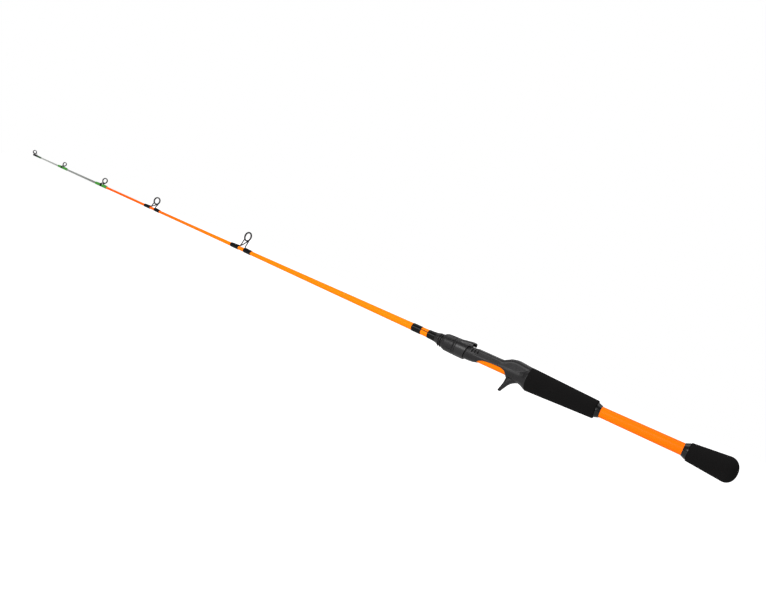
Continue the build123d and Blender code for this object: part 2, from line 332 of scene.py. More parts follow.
class Wiring:
    """Adds nodes to one node tree and joins them."""

    def __init__(self, tree: bpy.types.NodeTree) -> None:
        """Works on the given tree."""
        self.tree = tree

    def node(self, kind: str, **values: object) -> bpy.types.Node:
        """Adds a node and sets its properties."""
        made = self.tree.nodes.new(kind)
        for key, value in values.items():
            setattr(made, key, value)
        return made

    def link(self, start: bpy.types.NodeSocket, end: bpy.types.NodeSocket) -> None:
        """Joins two sockets."""
        self.tree.links.new(start, end)

    def math(self, operation: str, first: object, second: object = 0.0) -> bpy.types.NodeSocket:
        """Adds a math node whose operands are sockets or numbers.

        Args:
            operation: The math node's operation.
            first: A socket or a number.
            second: A socket or a number.

        Returns:
            The result's socket.
        """
        made = self.node("ShaderNodeMath", operation=operation)
        for index, operand in enumerate((first, second)):
            if isinstance(operand, bpy.types.NodeSocket):
                self.link(operand, made.inputs[index])
            else:
                made.inputs[index].default_value = operand
        return made.outputs[0]

    def remap(self, value: bpy.types.NodeSocket, old: tuple[float, float],
              new: tuple[float, float]) -> bpy.types.NodeSocket:
        """Carries a value from one range to another, and holds it at the ends.

        Args:
            value: The value's socket.
            old: Range that the value comes in.
            new: Range that it leaves in.

        Returns:
            The result's socket.
        """
        made = self.node("ShaderNodeMapRange")
        self.link(value, made.inputs["Value"])
        for key, number in zip(("From Min", "From Max", "To Min", "To Max"), (*old, *new)):
            made.inputs[key].default_value = number
        return made.outputs["Result"]


class GroupWiring(Wiring):
    """Wiring of a node group, with its named inputs and outputs."""

    def __init__(self, name: str, kind: str, inputs: dict[str, str], outputs: dict[str, str]) -> None:
        """Starts a group.

        Args:
            name: The group's name.
            kind: Its tree type.
            inputs: Socket type of each named input.
            outputs: Socket type of each named output.
        """
        super().__init__(bpy.data.node_groups.new(name, kind))
        for direction, sockets in (("INPUT", inputs), ("OUTPUT", outputs)):
            for key, socket_type in sockets.items():
                self.tree.interface.new_socket(name=key, in_out=direction, socket_type=socket_type)
        self.source = self.node("NodeGroupInput")
        self.sink = self.node("NodeGroupOutput")

    def given(self, name: str) -> bpy.types.NodeSocket:
        """The socket that brings a named input."""
        return self.source.outputs[name]

    def feed(self, name: str, end: bpy.types.NodeSocket) -> None:
        """Joins a named input to a socket."""
        self.link(self.given(name), end)


# ---- Geometry Nodes ----

class GrowingTree(GroupWiring):
    """A Geometry Nodes tree with named inputs that ends in real geometry with a material."""

    def __init__(self, name: str, inputs: dict[str, str]) -> None:
        """Starts a tree.

        Args:
            name: The tree's name.
            inputs: Socket type of each named input, besides the material.
        """
        super().__init__(name, "GeometryNodeTree", {**inputs, "Material": "NodeSocketMaterial"},
                         {"Geometry": "NodeSocketGeometry"})

    def end_with(self, geometry: bpy.types.NodeSocket) -> None:
        """Realizes instances, sets the material and joins the result to the output."""
        realize = self.node("GeometryNodeRealizeInstances")
        dress = self.node("GeometryNodeSetMaterial")
        self.link(geometry, realize.inputs["Geometry"])
        self.link(realize.outputs[0], dress.inputs["Geometry"])
        self.feed("Material", dress.inputs["Material"])
        self.link(dress.outputs[0], self.sink.inputs[0])

    def grow(self, name: str, values: dict[str, object], crease_deg: float) -> bpy.types.Object:
        """Runs the tree and turns its result into a plain piece.

        Args:
            name: Name of the piece.
            values: A value for each named input.
            crease_deg: Edges sharper than this stay crisp in shading.

        Returns:
            The new piece, with no modifier left on it.
        """
        seed = bpy.data.objects.new(name + "_seed", bpy.data.meshes.new(name + "_seed"))
        bpy.context.scene.collection.objects.link(seed)
        modifier = seed.modifiers.new("tree", "NODES")
        modifier.node_group = self.tree
        for socket in self.tree.interface.items_tree:
            if socket.in_out == "INPUT" and socket.name in values:
                modifier[socket.identifier] = values[socket.name]
        depsgraph = bpy.context.evaluated_depsgraph_get()
        data = bpy.data.meshes.new_from_object(seed.evaluated_get(depsgraph))
        seed.modifiers.clear()
        bpy.data.objects.remove(seed)
        form = bmesh.new()
        form.from_mesh(data)
        bmesh.ops.remove_doubles(form, verts=form.verts, dist=WELD_M)
        bmesh.ops.recalc_face_normals(form, faces=form.faces)
        form.to_mesh(data)
        form.free()
        return add_piece(name, data, values["Material"], crease_deg)


def screw_thread_tree() -> GrowingTree:
    """Tree of a screw thread: one ridge that winds along the rod, cut flat on top.

    Known fault: the section is swept a quarter turn round, so the base's width stands out from
    the barrel and the ridge rises past the root radius plus the ridge height.

    Returns:
        The tree, with inputs for the thread's start, turns, pitch, root, ridge, axis and key flat.
    """
    sizes = ("Start", "Turns", "Pitch", "Root Radius", "Ridge Height", "Ridge Base",
             "Ridge Land", "Axis Height", "Key Flat")
    spiral_steps = 48
    sunk_share = 0.4
    tree = GrowingTree("screw_thread", {size: "NodeSocketFloat" for size in sizes})
    spiral = tree.node("GeometryNodeCurveSpiral")
    spiral.inputs["Resolution"].default_value = spiral_steps
    tree.feed("Turns", spiral.inputs["Rotations"])
    middle = tree.math("ADD", tree.given("Root Radius"),
                       tree.math("MULTIPLY", tree.given("Ridge Height"), (1 - sunk_share) / 2))
    tree.link(middle, spiral.inputs["Start Radius"])
    tree.link(middle, spiral.inputs["End Radius"])
    length = tree.math("MULTIPLY", tree.given("Turns"), tree.given("Pitch"))
    tree.link(length, spiral.inputs["Height"])
    upright = tree.node("GeometryNodeSetCurveNormal", mode="Z_UP")
    tree.link(spiral.outputs[0], upright.inputs["Curve"])
    ridge = tree.node("GeometryNodeCurvePrimitiveQuadrilateral", mode="TRAPEZOID")
    tree.feed("Ridge Base", ridge.inputs["Bottom Width"])
    tree.feed("Ridge Land", ridge.inputs["Top Width"])
    tree.link(tree.math("MULTIPLY", tree.given("Ridge Height"), 1 + sunk_share), ridge.inputs["Height"])
    ridge.inputs["Offset"].default_value = 0.0
    sweep = tree.node("GeometryNodeCurveToMesh")
    sweep.inputs["Fill Caps"].default_value = True
    tree.link(upright.outputs[0], sweep.inputs["Curve"])
    tree.link(ridge.outputs[0], sweep.inputs["Profile Curve"])
    lay = tree.node("GeometryNodeTransform")
    lay.inputs["Rotation"].default_value = (0.0, math.pi / 2, 0.0)
    shift = tree.node("ShaderNodeCombineXYZ")
    tree.feed("Start", shift.inputs["X"])
    tree.feed("Axis Height", shift.inputs["Z"])
    tree.link(shift.outputs[0], lay.inputs["Translation"])
    tree.link(sweep.outputs[0], lay.inputs["Geometry"])
    where = tree.node("GeometryNodeInputPosition")
    parts = tree.node("ShaderNodeSeparateXYZ")
    tree.link(where.outputs[0], parts.inputs[0])
    kept = tree.node("ShaderNodeCombineXYZ")
    tree.link(parts.outputs["X"], kept.inputs["X"])
    tree.link(parts.outputs["Y"], kept.inputs["Y"])
    tree.link(tree.math("MINIMUM", parts.outputs["Z"], tree.given("Key Flat")),
              kept.inputs["Z"])
    flatten = tree.node("GeometryNodeSetPosition")
    tree.link(lay.outputs[0], flatten.inputs["Geometry"])
    tree.link(kept.outputs[0], flatten.inputs["Position"])
    tree.end_with(flatten.outputs[0])
    return tree


def ring_of_pads_tree() -> GrowingTree:
    """Tree that repeats one pad in equal steps round the rod's axis.

    Returns:
        The tree, with inputs for the pad object, the count, the first turn and the axis height.
    """
    tree = GrowingTree("ring_of_pads", {"Pad": "NodeSocketObject", "Count": "NodeSocketInt",
                                        "First Turn": "NodeSocketFloat",
                                        "Axis Height": "NodeSocketFloat"})
    pad = tree.node("GeometryNodeObjectInfo")
    tree.feed("Pad", pad.inputs["Object"])
    points = tree.node("GeometryNodeMeshLine")
    tree.feed("Count", points.inputs["Count"])
    points.inputs["Offset"].default_value = (0.0, 0.0, 0.0)
    axis = tree.node("ShaderNodeCombineXYZ")
    tree.feed("Axis Height", axis.inputs["Z"])
    tree.link(axis.outputs[0], points.inputs["Start Location"])
    index = tree.node("GeometryNodeInputIndex")
    step = tree.math("DIVIDE", TURN, tree.given("Count"))
    turn = tree.math("ADD", tree.math("MULTIPLY", index.outputs[0], step),
                     tree.given("First Turn"))
    spin = tree.node("ShaderNodeCombineXYZ")
    tree.link(turn, spin.inputs["X"])
    copies = tree.node("GeometryNodeInstanceOnPoints")
    tree.link(points.outputs[0], copies.inputs["Points"])
    tree.link(pad.outputs["Geometry"], copies.inputs["Instance"])
    tree.link(spin.outputs[0], copies.inputs["Rotation"])
    tree.end_with(copies.outputs[0])
    return tree


# ---- shared shader effects ----

def display(red: int, green: int, blue: int) -> Colour:
    """Turns a display colour, each part from 0 to 255, into the renderer's linear one."""
    parts = [part / 255 for part in (red, green, blue)]
    red_l, green_l, blue_l = [p / 12.92 if p <= 0.04045 else ((p + 0.055) / 1.055) ** 2.4
                              for p in parts]
    return red_l, green_l, blue_l


def fine_grain_effect() -> bpy.types.NodeTree:
    """Builds the grain of moulded or foamed plastic.

    Returns:
        Group with the grain's height and a blotchy shade, both from 0 to 1.
    """
    group = GroupWiring("fine_grain", "ShaderNodeTree",
                        {"Vector": "NodeSocketVector", "Grains per Metre": "NodeSocketFloat",
                         "Blotches per Metre": "NodeSocketFloat"},
                        {"Height": "NodeSocketFloat", "Shade": "NodeSocketFloat"})
    grain = group.node("ShaderNodeTexNoise")
    grain.inputs["Detail"].default_value = 3.0
    blotch = group.node("ShaderNodeTexNoise")
    blotch.inputs["Detail"].default_value = 2.0
    for noise, scale in ((grain, "Grains per Metre"), (blotch, "Blotches per Metre")):
        group.feed("Vector", noise.inputs["Vector"])
        group.feed(scale, noise.inputs["Scale"])
    group.link(group.remap(grain.outputs[0], NOISE_SPREAD, UNIT), group.sink.inputs["Height"])
    group.link(group.remap(blotch.outputs[0], NOISE_SPREAD, UNIT), group.sink.inputs["Shade"])
    return group.tree


def thread_turns_effect() -> bpy.types.NodeTree:
    """Builds the fine turns of thread wound round the rod.

    Returns:
        Group with the turns' height and a shade that differs from turn to turn, from 0 to 1.
    """
    group = GroupWiring("thread_turns", "ShaderNodeTree",
                        {"Vector": "NodeSocketVector", "Turns per Metre": "NodeSocketFloat"},
                        {"Height": "NodeSocketFloat", "Shade": "NodeSocketFloat"})
    parts = group.node("ShaderNodeSeparateXYZ")
    group.feed("Vector", parts.inputs[0])
    turns = group.math("MULTIPLY", parts.outputs["X"], group.given("Turns per Metre"))
    wave = group.math("SINE", group.math("MULTIPLY", turns, TURN))
    group.link(group.remap(wave, (-1.0, 1.0), UNIT), group.sink.inputs["Height"])
    tint = group.node("ShaderNodeTexWhiteNoise", noise_dimensions="1D")
    group.link(group.math("FLOOR", turns), tint.inputs["W"])
    group.link(tint.outputs["Value"], group.sink.inputs["Shade"])
    return group.tree


def drawn_streaks_effect() -> bpy.types.NodeTree:
    """Builds faint streaks that run along the rod, as in drawn glass fibre or polished wire.

    Returns:
        Group with the streaks' strength from 0 to 1.
    """
    group = GroupWiring("drawn_streaks", "ShaderNodeTree",
                        {"Vector": "NodeSocketVector", "Streaks per Metre": "NodeSocketFloat",
                         "Length Share": "NodeSocketFloat"},
                        {"Streak": "NodeSocketFloat"})
    parts = group.node("ShaderNodeSeparateXYZ")
    group.feed("Vector", parts.inputs[0])
    drawn = group.node("ShaderNodeCombineXYZ")
    group.link(group.math("MULTIPLY", parts.outputs["X"], group.given("Length Share")),
               drawn.inputs["X"])
    group.link(parts.outputs["Y"], drawn.inputs["Y"])
    group.link(parts.outputs["Z"], drawn.inputs["Z"])
    noise = group.node("ShaderNodeTexNoise")
    noise.inputs["Detail"].default_value = 2.0
    group.link(drawn.outputs[0], noise.inputs["Vector"])
    group.feed("Streaks per Metre", noise.inputs["Scale"])
    group.link(group.remap(noise.outputs[0], NOISE_SPREAD, UNIT), group.sink.inputs["Streak"])
    return group.tree


class Effect(Enum):
    """Shader effects that several finishes share, each built when it is first used."""

    FINE_GRAIN = "fine_grain"
    THREAD_TURNS = "thread_turns"
    DRAWN_STREAKS = "drawn_streaks"

    def tree(self) -> bpy.types.NodeTree:
        """The effect's node group."""
        makers = {Effect.FINE_GRAIN: fine_grain_effect, Effect.THREAD_TURNS: thread_turns_effect,
                  Effect.DRAWN_STREAKS: drawn_streaks_effect}
        return bpy.data.node_groups.get(self.value) or makers[self]()


# ---- finishes ----

class SurfaceWiring(Wiring):
    """Wiring of one material, round its Principled shader and Object coordinates."""

    def __init__(self, name: str, **plain: object) -> None:
        """Starts a material.

        Args:
            name: The material's name.
            plain: Values that are the same all over the surface, by socket name with underscores.
        """
        self.material = bpy.data.materials.new(name)
        self.material.use_nodes = True
        super().__init__(self.material.node_tree)
        self.shader = self.tree.nodes["Principled BSDF"]
        for key, value in plain.items():
            self.shader.inputs[key.replace("_", " ")].default_value = value
        self.place = self.node("ShaderNodeTexCoord").outputs["Object"]

    def effect(self, effect: Effect, **values: float) -> bpy.types.Node:
        """Places a shared effect and sets its inputs.

        Args:
            effect: Which effect.
            values: Numbers for its inputs, by name with underscores.

        Returns:
            The group node.
        """
        group = self.node("ShaderNodeGroup", node_tree=effect.tree())
        self.link(self.place, group.inputs["Vector"])
        for key, value in values.items():
            group.inputs[key.replace("_", " ")].default_value = value
        return group

    def blend(self, share: bpy.types.NodeSocket, first: object, second: object) -> bpy.types.NodeSocket:
        """Mixes two colours, each a socket or a linear colour.

        Args:
            share: How much of the second shows, from 0 to 1.
            first: Colour at share 0.
            second: Colour at share 1.

        Returns:
            The mixed colour's socket.
        """
        mix = self.node("ShaderNodeMix", data_type="RGBA")
        self.link(share, mix.inputs["Factor"])
        for socket, colour in ((mix.inputs[6], first), (mix.inputs[7], second)):
            if isinstance(colour, bpy.types.NodeSocket):
                self.link(colour, socket)
            else:
                socket.default_value = (*colour, 1.0)
        return mix.outputs[2]

    def colour(self, value: bpy.types.NodeSocket) -> None:
        """Joins a colour to the base colour."""
        self.link(value, self.shader.inputs["Base Color"])

    def roughness(self, value: bpy.types.NodeSocket, low: float, high: float) -> None:
        """Lets a value from 0 to 1 move the roughness between two limits."""
        self.link(self.remap(value, UNIT, (low, high)), self.shader.inputs["Roughness"])

    def bump(self, height: bpy.types.NodeSocket, depth_mm: float, strength: float = 1.0) -> None:
        """Raises the surface by a height from 0 to 1.

        Args:
            height: The height's socket.
            depth_mm: How far apart heights 0 and 1 are, in millimetres.
            strength: How strongly the bump bends the light.
        """
        bump = self.node("ShaderNodeBump")
        bump.inputs["Distance"].default_value = depth_mm * MM
        bump.inputs["Strength"].default_value = strength
        self.link(height, bump.inputs["Height"])
        self.link(bump.outputs[0], self.shader.inputs["Normal"])


def darker(colour: Colour, share: float) -> Colour:
    """A colour taken some share of the way to black."""
    return tuple(part * (1 - share) for part in colour)


@dataclass(frozen=True)
class RodLacquer:
    """Clear coat over coloured glass fibre whose colour changes along the rod."""

    name: str
    stops: tuple[tuple[float, Colour], ...]
    streak_depth: float = 0.07
    roughness: tuple[float, float] = (0.45, 0.6)
    coat: float = 0.04
    streak_shadow: float = 0.75

    def material(self) -> bpy.types.Material:
        """Builds the finish."""
        surface = SurfaceWiring(self.name, Coat_Weight=self.coat, Coat_Roughness=0.2,
                                Specular_IOR_Level=0.04)
        parts = surface.node("ShaderNodeSeparateXYZ")
        surface.link(surface.place, parts.inputs[0])
        start, end = self.stops[0][0], self.stops[-1][0]
        along = surface.remap(parts.outputs["X"], (start * MM, end * MM), UNIT)
        ramp = surface.node("ShaderNodeValToRGB")
        surface.link(along, ramp.inputs[0])
        elements = ramp.color_ramp.elements
        for index, (x, colour) in enumerate(self.stops):
            place_on_ramp = (x - start) / (end - start)
            inner = 0 < index < len(self.stops) - 1
            element = elements.new(place_on_ramp) if inner else elements[0 if index == 0 else -1]
            element.color = (*colour, 1.0)
        streaks = surface.effect(Effect.DRAWN_STREAKS, Streaks_per_Metre=1800.0, Length_Share=0.02)
        shade = surface.remap(streaks.outputs["Streak"], UNIT, (0.0, self.streak_depth))
        surface.colour(surface.blend(shade, ramp.outputs[0], darker(self.stops[0][1], self.streak_shadow)))
        surface.roughness(streaks.outputs["Streak"], *self.roughness)
        return surface.material


@dataclass(frozen=True)
class EpoxyThread:
    """Wound thread under a thick coat of clear epoxy, with painted shade in the grooves between the turns.
    """

    name: str
    colour: Colour
    turns_per_mm: float = 4.0
    turn_tint: float = 0.35
    # Share of painted shade that darkens the grooves between the turns.
    groove_painted_shade: float = 0.3
    shadow: float = 0.35
    roughness: tuple[float, float] = (0.35, 0.55)
    thread_depth_mm: float = 0.02
    relief: float = 0.25

    def material(self) -> bpy.types.Material:
        """Builds the finish."""
        surface = SurfaceWiring(self.name, Coat_Weight=0.2, Coat_Roughness=0.04,
                                Specular_IOR_Level=0.03)
        turns = surface.effect(Effect.THREAD_TURNS, Turns_per_Metre=self.turns_per_mm / MM)
        # Tone differs at random from turn to turn, and the grooves get painted shade: darker where the
        # turns' height is low.
        shade = surface.math("ADD", surface.math("MULTIPLY", turns.outputs["Shade"], self.turn_tint),
                             surface.math("MULTIPLY", turns.outputs["Height"], self.groove_painted_shade))
        surface.colour(surface.blend(shade, darker(self.colour, self.shadow), self.colour))
        surface.roughness(turns.outputs["Shade"], *self.roughness)
        surface.bump(turns.outputs["Height"], self.thread_depth_mm, self.relief)
        return surface.material


@dataclass(frozen=True)
class PlatedWire:
    """Dark plated metal with faint polishing marks."""

    name: str
    colour: Colour
    roughness: tuple[float, float] = (0.2, 0.32)
    shadow: float = 0.35
    mark_depth_mm: float = 0.01
    relief: float = 0.15

    def material(self) -> bpy.types.Material:
        """Builds the finish."""
        surface = SurfaceWiring(self.name, Metallic=0.85, Specular_IOR_Level=0.3)
        marks = surface.effect(Effect.DRAWN_STREAKS, Streaks_per_Metre=2600.0, Length_Share=0.25)
        streak = marks.outputs["Streak"]
        surface.colour(surface.blend(streak, self.colour, darker(self.colour, self.shadow)))
        surface.roughness(streak, *self.roughness)
        surface.bump(streak, self.mark_depth_mm, self.relief)
        return surface.material


@dataclass(frozen=True)
class Moulding:
    """Moulded plastic: a fine grain, blotchy gloss and a faint change of shade."""

    name: str
    colour: Colour
    roughness: tuple[float, float]
    grains_per_mm: float = 5.0
    grain_depth_mm: float = 0.02
    coat: float = 0.0
    specular: float = 0.5
    shadow: float = 0.18
    relief: float = 0.35

    def material(self) -> bpy.types.Material:
        """Builds the finish."""
        surface = SurfaceWiring(self.name, Coat_Weight=self.coat, Coat_Roughness=0.12,
                                Specular_IOR_Level=self.specular)
        grain = surface.effect(Effect.FINE_GRAIN, Grains_per_Metre=self.grains_per_mm / MM,
                               Blotches_per_Metre=140.0)
        shade = grain.outputs["Shade"]
        surface.colour(surface.blend(shade, darker(self.colour, self.shadow), self.colour))
        surface.roughness(shade, *self.roughness)
        surface.bump(grain.outputs["Height"], self.grain_depth_mm, self.relief)
        return surface.material


@dataclass(frozen=True)
class GroundFoam:
    """Closed-cell foam ground to shape: matte, with open pores, and painted shade that makes the pores
    darker than the paler cell walls.
    """

    name: str
    colour: Colour
    # Colour of the cell walls; the pores get the darker colour as painted shade.
    unshaded_cell_wall: Colour
    pores_per_mm: float = 2.6
    wall_spread: tuple[float, float] = (0.25, 0.85)
    roughness: tuple[float, float] = (0.82, 0.97)
    grain_share: float = 0.5
    pore_depth_mm: float = 0.05
    relief: float = 0.4

    def material(self) -> bpy.types.Material:
        """Builds the finish."""
        surface = SurfaceWiring(self.name, Specular_IOR_Level=0.08)
        cells = surface.node("ShaderNodeTexVoronoi")
        cells.inputs["Scale"].default_value = self.pores_per_mm / MM
        surface.link(surface.place, cells.inputs["Vector"])
        grain = surface.effect(Effect.FINE_GRAIN, Grains_per_Metre=1200.0, Blotches_per_Metre=90.0)
        # Painted shade in the pores: darker towards each cell's middle, paler at the cell walls, scaled by
        # the grain's random blotches; the same mask raises the walls in the bump.
        wall = surface.remap(cells.outputs["Distance"], self.wall_spread, UNIT)
        surface.colour(surface.blend(surface.math("MULTIPLY", wall, grain.outputs["Shade"]),
                                     self.colour, self.unshaded_cell_wall))
        surface.roughness(grain.outputs["Shade"], *self.roughness)
        fine = surface.math("MULTIPLY", grain.outputs["Height"], self.grain_share)
        surface.bump(surface.math("ADD", wall, fine), self.pore_depth_mm, self.relief)
        return surface.material


class Palette:
    """Every finish of the rod, each built once and ready to dress pieces."""

    def __init__(self) -> None:
        """Builds the finishes."""
        self.blank = RodLacquer("orange_rod_lacquer", (
            (-735.0, display(248, 88, 8)), (-600.0, display(250, 100, 4)),
            (-420.0, display(253, 125, 0)), (-100.0, display(253, 130, 0)),
            (40.0, display(253, 122, 0)), (245.0, display(253, 108, 0)))).material()
        self.tip = RodLacquer("grey_tip_resin", (
            (-955.0, display(176, 179, 174)), (-850.0, display(140, 143, 140)),
            (-735.0, display(104, 106, 103))),
            streak_depth=0.25, roughness=(0.4, 0.5), coat=0.2).material()
        # These thread finishes paint shade into the grooves between the turns.
        self.black_wrap = EpoxyThread("black_thread", display(12, 12, 12)).material()
        self.green_wrap = EpoxyThread("green_thread", display(72, 152, 58)).material()
        self.dark_green_wrap = EpoxyThread("dark_green_thread", display(30, 74, 34)).material()
        self.frame_wire = PlatedWire("gunmetal_wire", display(44, 41, 46)).material()
        self.ring = Moulding("polished_ring", display(26, 24, 28), (0.1, 0.18), grains_per_mm=3.0,
                             grain_depth_mm=0.004, coat=0.3, specular=0.3).material()
        self.seat = Moulding("seat_nylon", display(25, 24, 25), (0.34, 0.44),
                             specular=0.27).material()
        self.hood = Moulding("hood_nylon", display(22, 21, 22), (0.27, 0.35),
                             specular=0.4).material()
        self.nut = Moulding("nut_nylon", display(24, 23, 24), (0.36, 0.46), grains_per_mm=4.0,
                            specular=0.27).material()
        self.arbor = Moulding("arbor_foam", display(196, 192, 180), (0.7, 0.9), grains_per_mm=2.0,
                              grain_depth_mm=0.06).material()
        # The grip foam's pores get painted shade: the first colour, darker than the second, which is the
        # cell walls.
        self.grip = GroundFoam("grip_eva", display(12, 11, 11), display(21, 20, 20)).material()
        self.check = Moulding("check_gloss", display(14, 14, 14), (0.16, 0.24), grains_per_mm=3.0,
                              grain_depth_mm=0.004, coat=0.2, specular=0.2).material()


# ---- studio ----

@dataclass(frozen=True)
class Softbox:
    """Rectangular soft light that is aimed squarely at the rod's axis."""

    name: str
    spot_mm: tuple[float, float, float]
    size_m: tuple[float, float]
    power_w: float

    def build(self) -> None:
        """Adds the light."""
        data = bpy.data.lights.new(self.name, "AREA")
        data.shape = "RECTANGLE"
        data.size, data.size_y = self.size_m
        data.energy = self.power_w
        light = bpy.data.objects.new(self.name, data)
        spot = Vector(self.spot_mm) * MM
        aim = Vector((spot.x, 0, 0))
        light.location = spot
        light.rotation_euler = (aim - spot).to_track_quat("-Z", "Y").to_euler()
        bpy.context.scene.collection.objects.link(light)


@dataclass
class Studio:
    """Camera, soft lights, white surround and pale floor."""

    lens_mm: float = 30.08
    sensor_mm: float = 36.0
    distance_mm: float = 687.0
    aim_x_mm: float = 228.5
    swing_deg: float = 29.05
    rise_deg: float = 5.0
    tilt_deg: float = 0.499
    roll_deg: float = 24.409
    floor_drop_mm: float = 260.0
    floor_size_mm: float = 9000.0
    far_clip_m: float = 20.0
    surround: float = 0.3
    softboxes: tuple[Softbox, ...] = (
        Softbox("front_softbox", (-300, -1500, 450), (2.4, 0.7), 30.0),
        Softbox("top_softbox", (-350, 200, 1200), (2.6, 0.8), 12.0),
        Softbox("rear_softbox", (-350, 1300, 500), (2.2, 0.8), 3.0))

    def build(self) -> None:
        """Builds the whole studio."""
        bpy.context.scene.view_settings.view_transform = "Standard"
        self.camera()
        self.world()
        for softbox in self.softboxes:
            softbox.build()
        self.floor()

    def camera(self) -> None:
        """Sets the camera beyond the butt, looking along the rod to its tip."""
        rise, swing = math.radians(self.rise_deg), math.radians(self.swing_deg)
        tilt, roll = math.radians(self.tilt_deg), math.radians(self.roll_deg)
        outward = Vector((0, -math.cos(rise), math.sin(rise)))
        lift = Vector((0, math.sin(rise), math.cos(rise)))
        along = Vector((1, 0, 0))
        level_view = -along * math.sin(swing) - outward * math.cos(swing)
        level_right = along * math.cos(swing) - outward * math.sin(swing)
        view = level_view * math.cos(tilt) + lift * math.sin(tilt)
        level_up = lift * math.cos(tilt) - level_view * math.sin(tilt)
        right = level_right * math.cos(roll) + level_up * math.sin(roll)
        up = level_up * math.cos(roll) - level_right * math.sin(roll)
        turn = Matrix((right, up, -view)).transposed().to_4x4()
        spot = Vector((self.aim_x_mm, 0, AXIS)) + outward * self.distance_mm
        data = bpy.data.cameras.new("studio_camera")
        data.lens = self.lens_mm
        data.sensor_width = self.sensor_mm
        data.clip_end = self.far_clip_m
        camera = bpy.data.objects.new("studio_camera", data)
        camera.matrix_world = Matrix.Translation(spot * MM) @ turn
        bpy.context.scene.collection.objects.link(camera)
        bpy.context.scene.camera = camera

    def world(self) -> None:
        """Lights the rod from all round, and shows white where nothing else is seen."""
        world = bpy.data.worlds.new("white_surround")
        world.use_nodes = True
        wiring = Wiring(world.node_tree)
        background = world.node_tree.nodes["Background"]
        background.inputs["Color"].default_value = (1.0, 1.0, 1.0, 1.0)
        seen = wiring.node("ShaderNodeLightPath").outputs["Is Camera Ray"]
        wiring.link(wiring.remap(seen, UNIT, (self.surround, 1.0)),
                    background.inputs["Strength"])
        bpy.context.scene.world = world

    def floor(self) -> None:
        """Lays the pale floor, which shows only from above."""
        surface = SurfaceWiring("pale_floor", Roughness=0.9, Specular_IOR_Level=0.1,
                                Emission_Strength=1.0)
        tone = surface.effect(Effect.FINE_GRAIN, Grains_per_Metre=40.0, Blotches_per_Metre=0.6)
        surface.colour(surface.blend(tone.outputs["Shade"], (0.8, 0.8, 0.8), (0.84, 0.84, 0.84)))
        seen = surface.node("ShaderNodeLightPath").outputs["Is Camera Ray"]
        glow = surface.blend(seen, (0.0, 0.0, 0.0), (1.0, 1.0, 1.0))
        surface.link(glow, surface.shader.inputs["Emission Color"])
        output = surface.tree.nodes["Material Output"]
        clear = surface.node("ShaderNodeBsdfTransparent")
        choose = surface.node("ShaderNodeMixShader")
        under = surface.node("ShaderNodeNewGeometry").outputs["Backfacing"]
        surface.link(under, choose.inputs[0])
        surface.link(surface.shader.outputs[0], choose.inputs[1])
        surface.link(clear.outputs[0], choose.inputs[2])
        surface.link(choose.outputs[0], output.inputs["Surface"])
        form = bmesh.new()
        half = self.floor_size_mm / 2
        corners = [form.verts.new(Vector((x, y, -self.floor_drop_mm)) * MM)
                   for x, y in ((-half, -half), (half, -half), (half, half), (-half, half))]
        form.faces.new(corners)
        data = bpy.data.meshes.new("pale_floor")
        form.to_mesh(data)
        form.free()
        add_piece("pale_floor", data, surface.material, crease_deg=30.0)


# ---- blank and tip ----

@dataclass
class Blank:
    """Tubular blank and the solid tip spliced into its front end."""

    palette: Palette
    step_mm: float = 12.0
    end_round_mm: float = 0.5

    def build(self) -> None:
        """Builds both parts of the blank."""
        for node, finish, slot in (("blank", self.palette.blank, "blank_lacquer"),
                                   ("blank_tip", self.palette.tip, "solid_tip_resin")):
            start, end = span(node)
            if node == "blank_tip":
                end = span("blank")[0]
            form = Form(node + "_skin")
            form.turn(self.outline(start, end))
            place(form.piece(finish), Body.ROOT, slot, node)

    def outline(self, start: float, end: float) -> Profile:
        """Outline of a stretch of the blank, with softly rounded ends.

        Args:
            start: Front end in millimetres.
            end: Rear end in millimetres.

        Returns:
            Points as (place, radius).
        """
        count = max(2, round((end - start) / self.step_mm))
        places = [start + (end - start) * i / count for i in range(count + 1)]
        profile = [(start, TAPER.at(start) - self.end_round_mm)]
        profile.append((start + self.end_round_mm, TAPER.at(start)))
        profile += [(x, TAPER.at(x)) for x in places[1:-1]]
        profile.append((end - self.end_round_mm, TAPER.at(end)))
        profile.append((end, TAPER.at(end) - self.end_round_mm))
        return profile


# ---- guides and tip-top ----

def ring_insert(form: Form, x: float, height: float, outer: float, bore: float,
                width: float = 2.2) -> None:
    """Adds the hard ring that lines a guide, with a fully rounded bore.

    Args:
        form: Where it goes.
        x: Place of its middle along the rod.
        height: Height of its centre.
        outer: Outside radius.
        bore: Radius of the line's hole.
        width: Width along the rod.
    """
    bore_steps = 16
    seat_share = 0.55
    lip_share = 0.12
    bulge = 0.8
    half = width / 2
    wall = outer - bore
    profile = [(x - half * seat_share, outer), (x + half * seat_share, outer)]
    for step in range(1, bore_steps):
        angle = math.pi * step / bore_steps
        depth = wall * lip_share + wall * (1 - lip_share) * math.sin(angle) ** bulge
        profile.append((x + half * math.cos(angle), outer - depth))
    form.turn(profile, height, RING_SEGMENTS, looped=True)


def ring_band(form: Form, x: float, height: float, outer: float, inner: float,
              width: float = 1.5) -> None:
    """Adds the frame's band round a ring, with rounded edges.

    Args:
        form: Where it goes.
        x: Place of its middle along the rod.
        height: Height of its centre.
        outer: Outside radius.
        inner: Inside radius.
        width: Width along the rod.
    """
    edge_steps = 16
    square = 0.6
    middle, half_wall = (outer + inner) / 2, (outer - inner) / 2
    profile = []
    for step in range(edge_steps):
        angle = TURN * step / edge_steps
        across, along = math.sin(angle), math.cos(angle)
        profile.append((x + width / 2 * math.copysign(abs(along) ** square, along),
                        middle + half_wall * math.copysign(abs(across) ** square, across)))
    form.turn(profile, height, RING_SEGMENTS, looped=True)


